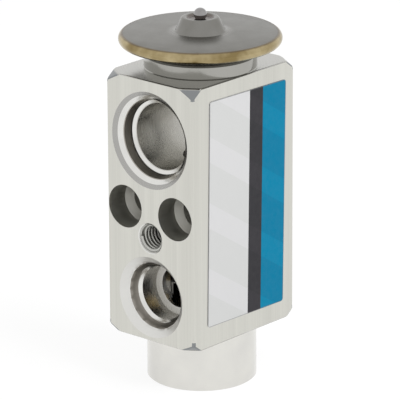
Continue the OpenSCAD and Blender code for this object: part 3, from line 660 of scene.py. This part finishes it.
ridge_tree, ridge_sockets = thread_tree()
stud_thread = grown("stud_thread", ridge_tree, ridge_sockets, {
    "Root radius": STUD_R + 0.06 * MM, "Crest radius": STUD_CREST_R, "Pitch": STUD_PITCH,
    "Turns": (STUD_TO - STUD_FROM) / STUD_PITCH, "Start": STUD_FROM, "Material": body_metal})
stud_thread.data.transform(Matrix.Rotation(math.radians(-90), 4, "X"))
stud_thread.data.transform(Matrix.Scale(-1, 4, (1, 0, 0)) @ Matrix.Translation((0, 0, STUD_Z)))
stud_thread.data.flip_normals()
show(stud_thread, "valve_body", "body_aluminium")

# Coil spring under the carriage. Drawn wire with closed, ground ends. Its lower half goes with
# the adjusting nut and its upper half with the carriage, so both move from its middle.
SPRING_R = 4.0 * MM
WIRE = 1.1 * MM
SPRING_FOOT, SPRING_TOP = 9.3 * MM, 21.87 * MM
ACTIVE_TURNS = 4.0
CLOSED_PITCH = WIRE * 1.06
TIP_UP = WIRE * 0.25


def spring_tree():
    """A round wire wound with a closed coil at each end, its two ends ground flat."""
    kinds = [(title, "NodeSocketFloat") for title in (
        "Coil radius", "Wire", "Foot", "Top", "Active turns", "From turn", "To turn")]
    tree, sockets, given = helix_tree("ground_coil", kinds + [("Material", "NodeSocketMaterial")])
    wire = tree.nodes.new("GeometryNodeCurvePrimitiveCircle")
    wire.inputs["Resolution"].default_value = 14
    tree.links.new(calc(tree, "MULTIPLY", given["Wire"], 0.5), wire.inputs["Radius"])

    def law(along, across, up):
        span = calc(tree, "SUBTRACT", given["To turn"], given["From turn"])
        turn = calc(tree, "MULTIPLY_ADD", along, span, given["From turn"])
        closed = calc(tree, "MULTIPLY", given["Wire"], 1.06)
        tip = calc(tree, "MULTIPLY", given["Wire"], 0.25)
        length = calc(tree, "SUBTRACT", given["Top"], given["Foot"])
        ends = calc(tree, "MULTIPLY", calc(tree, "ADD", tip, closed), 2.0)
        pitch = calc(tree, "DIVIDE", calc(tree, "SUBTRACT", length, ends), given["Active turns"])
        first = calc(tree, "MINIMUM", turn, 1.0)
        past = calc(tree, "MAXIMUM", calc(tree, "SUBTRACT", turn, 1.0), 0.0)
        active = calc(tree, "MINIMUM", past, given["Active turns"])
        last = calc(tree, "SUBTRACT", past, active)
        height = calc(tree, "ADD", calc(tree, "ADD", given["Foot"], tip), across)
        height = calc(tree, "MULTIPLY_ADD", closed, calc(tree, "ADD", first, last), height)
        height = calc(tree, "MULTIPLY_ADD", pitch, active, height)
        height = calc(tree, "MINIMUM", calc(tree, "MAXIMUM", height, given["Foot"]), given["Top"])
        return calc(tree, "MULTIPLY", turn, 2 * math.pi), calc(tree, "ADD", given["Coil radius"], up), height

    wind(tree, wire.outputs[0], 145, given, law)
    return tree, sockets


spring_metal = turned_metal("drawn_wire", (0.46, 0.47, 0.49), (0.36, 0.37, 0.39), 0.3)
coil_tree, coil_sockets = spring_tree()
SPRING_MIDDLE = (SPRING_FOOT + SPRING_TOP) / 2
middle_turn = ACTIVE_TURNS / 2 + 1
for name, first, last, end_body, end_z in (
        ("spring_lower_half", 0.0, middle_turn, "nut_ring", SPRING_FOOT),
        ("spring_upper_half", middle_turn, ACTIVE_TURNS + 2, "valve_stem", SPRING_TOP)):
    half_coil = grown(name, coil_tree, coil_sockets, {
        "Coil radius": SPRING_R, "Wire": WIRE, "Foot": SPRING_FOOT, "Top": SPRING_TOP,
        "Active turns": ACTIVE_TURNS, "From turn": first, "To turn": last, "Material": spring_metal})
    half_coil.data.shade_smooth()
    half_coil.data.set_sharp_from_angle(angle=math.radians(50))
    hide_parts("superheat_spring")
    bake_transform(half_coil, end_body, "valve_body", start=(0, 0, end_z), end=(0, 0, SPRING_MIDDLE))

# Adjusting nut. Turned brass with a hex socket, screwed into the thread inside the boss. The
# nut's ridge runs between the boss's ridges, half a pitch off, and stays there as it turns.
NUT_R = 7.4 * MM
NUT_ROOT_R = 6.85 * MM
NUT_FOOT, NUT_TOP = 1.4 * MM, 9.3 * MM
NUT_GROOVE = (6.9 * MM, 8.6 * MM)
NUT_GROOVE_R = 5.96 * MM
NUT_LEAD = 0.6 * MM
SPIGOT_R = 3.1 * MM
SPIGOT_TOP = 11.3 * MM
SOCKET_AF = 6.0 * MM
SOCKET_TOP = 5.9 * MM
THREAD_PITCH = 1.0 * MM
BORE_R = 7.5 * MM
BORE_CREST_R = 6.97 * MM
nut_line = [(0, NUT_FOOT), (NUT_ROOT_R - 0.3 * MM, NUT_FOOT), (NUT_ROOT_R, NUT_FOOT + 0.3 * MM),
            (NUT_ROOT_R, 6.45 * MM), (NUT_R, 6.75 * MM), (NUT_R, NUT_GROOVE[0]),
            (NUT_GROOVE_R, NUT_GROOVE[0]), (NUT_GROOVE_R, NUT_GROOVE[1]), (NUT_R, NUT_GROOVE[1]),
            (NUT_R, NUT_TOP), (SPIGOT_R, NUT_TOP), (SPIGOT_R, SPIGOT_TOP - NUT_LEAD),
            (SPIGOT_R - NUT_LEAD, SPIGOT_TOP), (0, SPIGOT_TOP)]
nut = lathe("adjusting_nut_turned", nut_line, 120)
socket_form = bmesh.new()
bmesh.ops.create_cone(socket_form, cap_ends=True, segments=6, radius1=SOCKET_AF / math.sqrt(3),
                      radius2=SOCKET_AF / math.sqrt(3), depth=SOCKET_TOP)
bmesh.ops.translate(socket_form, verts=socket_form.verts, vec=(0, 0, SOCKET_TOP / 2))
socket_cut = bpy.data.objects.new("socket_cut", bpy.data.meshes.new("socket_cut"))
socket_form.to_mesh(socket_cut.data)
socket_form.free()
scene.collection.objects.link(socket_cut)
cut = nut.modifiers.new("socket", "BOOLEAN")
cut.operation = "DIFFERENCE"
cut.solver = "EXACT"
cut.object = socket_cut
broken = nut.modifiers.new("edges", "BEVEL")
broken.width = 0.08 * MM
broken.limit_method = "ANGLE"
broken.angle_limit = math.radians(40)
settle(nut)
bpy.data.objects.remove(socket_cut)
nut.data.set_sharp_from_angle(angle=math.radians(35))
set_material(nut, brass)
show(nut, "adjusting_nut", "nut_brass", "adjusting_nut")
nut_thread = grown("nut_thread", ridge_tree, ridge_sockets, {
    "Root radius": NUT_ROOT_R - 0.06 * MM, "Crest radius": NUT_R - 0.03 * MM, "Pitch": THREAD_PITCH,
    "Turns": 3.6, "Start": 2.3 * MM, "Material": brass})
show(nut_thread, "adjusting_nut", "nut_brass")
bore_thread = grown("boss_bore_thread", ridge_tree, ridge_sockets, {
    "Root radius": BORE_R + 0.06 * MM, "Crest radius": BORE_CREST_R, "Pitch": THREAD_PITCH,
    "Turns": 4.0, "Start": 0.8 * MM, "Material": body_metal})
show(bore_thread, "valve_body", "body_aluminium")

# Floor and studio. A plain pale floor and soft white light. What the camera sees behind the part,
# straight, mirrored in metal or through rings, is plain white, and the floor keeps the shadow.
GREY = 0.62
FLOOR_HALF = 3.0
FLOOR_GLOW = 1.1
SHADOW_SHARE = 0.25


def seen_share(tree):
    """1 for what the camera sees, straight, mirrored or through glass, and 0 for light on the object."""
    path = tree.nodes.new("ShaderNodeLightPath")
    seen = calc(tree, "MAXIMUM", path.outputs["Is Camera Ray"], path.outputs["Is Glossy Ray"])
    return calc(tree, "MAXIMUM", seen, path.outputs["Is Transmission Ray"])


world = bpy.data.worlds.new("studio")
scene.world = world
world.use_nodes = True
sky = world.node_tree
tone = blend_colours(sky, seen_share(sky), (GREY, GREY, GREY), (1.0, 1.0, 1.0))
sky.links.new(tone, sky.nodes["Background"].inputs["Color"])
sky.nodes["Background"].inputs["Strength"].default_value = 1.0

floor_mesh = bpy.data.meshes.new("floor")
floor_mesh.from_pydata([(-FLOOR_HALF, -FLOOR_HALF, 0), (FLOOR_HALF, -FLOOR_HALF, 0),
                        (FLOOR_HALF, FLOOR_HALF, 0), (-FLOOR_HALF, FLOOR_HALF, 0)], [], [(0, 1, 2, 3)])
floor = bpy.data.objects.new("floor", floor_mesh)
scene.collection.objects.link(floor)
paper, tree, shader, (x, y, z) = new_finish("paper_floor", 0.0, 0.9)
shader.inputs["Base Color"].default_value = (0.85, 0.85, 0.85, 1)
shader.inputs["Specular IOR Level"].default_value = 0.0
glow = tree.nodes.new("ShaderNodeEmission")
glow.inputs["Strength"].default_value = FLOOR_GLOW
both = tree.nodes.new("ShaderNodeMixShader")
tree.links.new(calc(tree, "MULTIPLY", seen_share(tree), 1.0 - SHADOW_SHARE), both.inputs[0])
tree.links.new(shader.outputs[0], both.inputs[1])
tree.links.new(glow.outputs[0], both.inputs[2])
tree.links.new(both.outputs[0], tree.nodes["Material Output"].inputs["Surface"])
floor_mesh.materials.append(paper)


def soft_lamp(name, place, aim, size, watts, colour=(1, 1, 1)):
    lamp = bpy.data.lights.new(name, "AREA")
    lamp.shape = "RECTANGLE"
    lamp.size, lamp.size_y = size
    lamp.energy = watts
    lamp.color = colour
    holder = bpy.data.objects.new(name, lamp)
    holder.visible_glossy = False
    scene.collection.objects.link(holder)
    holder.location = place
    holder.rotation_euler = (Vector(aim) - Vector(place)).to_track_quat("-Z", "Y").to_euler()
    return holder


soft_lamp("key_lamp", (0.55, 0.05, 0.55), (0, 0, 0.045), (0.5, 0.5), 3.2)
soft_lamp("fill_lamp", (-0.35, -0.75, 0.35), (0, 0, 0.045), (0.5, 0.6), 2.0)

# Camera, at the photograph's angle: a long lens a little above the part.
AZIMUTH = math.radians(41.357)
ELEVATION = math.radians(18.011)
DISTANCE = 845.258 * MM
TARGET = Vector((0, 0, 42.2 * MM))
LENS_PX = 3802.825
ROLL = math.radians(-0.27)
PICTURE = 400
SENSOR = 36.0
back = Vector((math.sin(AZIMUTH) * math.cos(ELEVATION),
               -math.cos(AZIMUTH) * math.cos(ELEVATION), math.sin(ELEVATION)))
camera_data = bpy.data.cameras.new("camera")
camera_data.sensor_width = SENSOR
camera_data.lens = SENSOR * LENS_PX / PICTURE
camera_data.shift_x = (200 - 201.07) / PICTURE
camera_data.shift_y = (194.206 - 200) / PICTURE
camera_data.clip_start = 0.05
camera = bpy.data.objects.new("camera", camera_data)
scene.collection.objects.link(camera)
turn = back.to_track_quat("Z", "Y").to_matrix().to_4x4() @ Matrix.Rotation(ROLL, 4, "Z")
camera.matrix_world = Matrix.Translation(TARGET + back * DISTANCE) @ turn
bpy.context.scene.camera = camera

scene.view_settings.view_transform = "Standard"
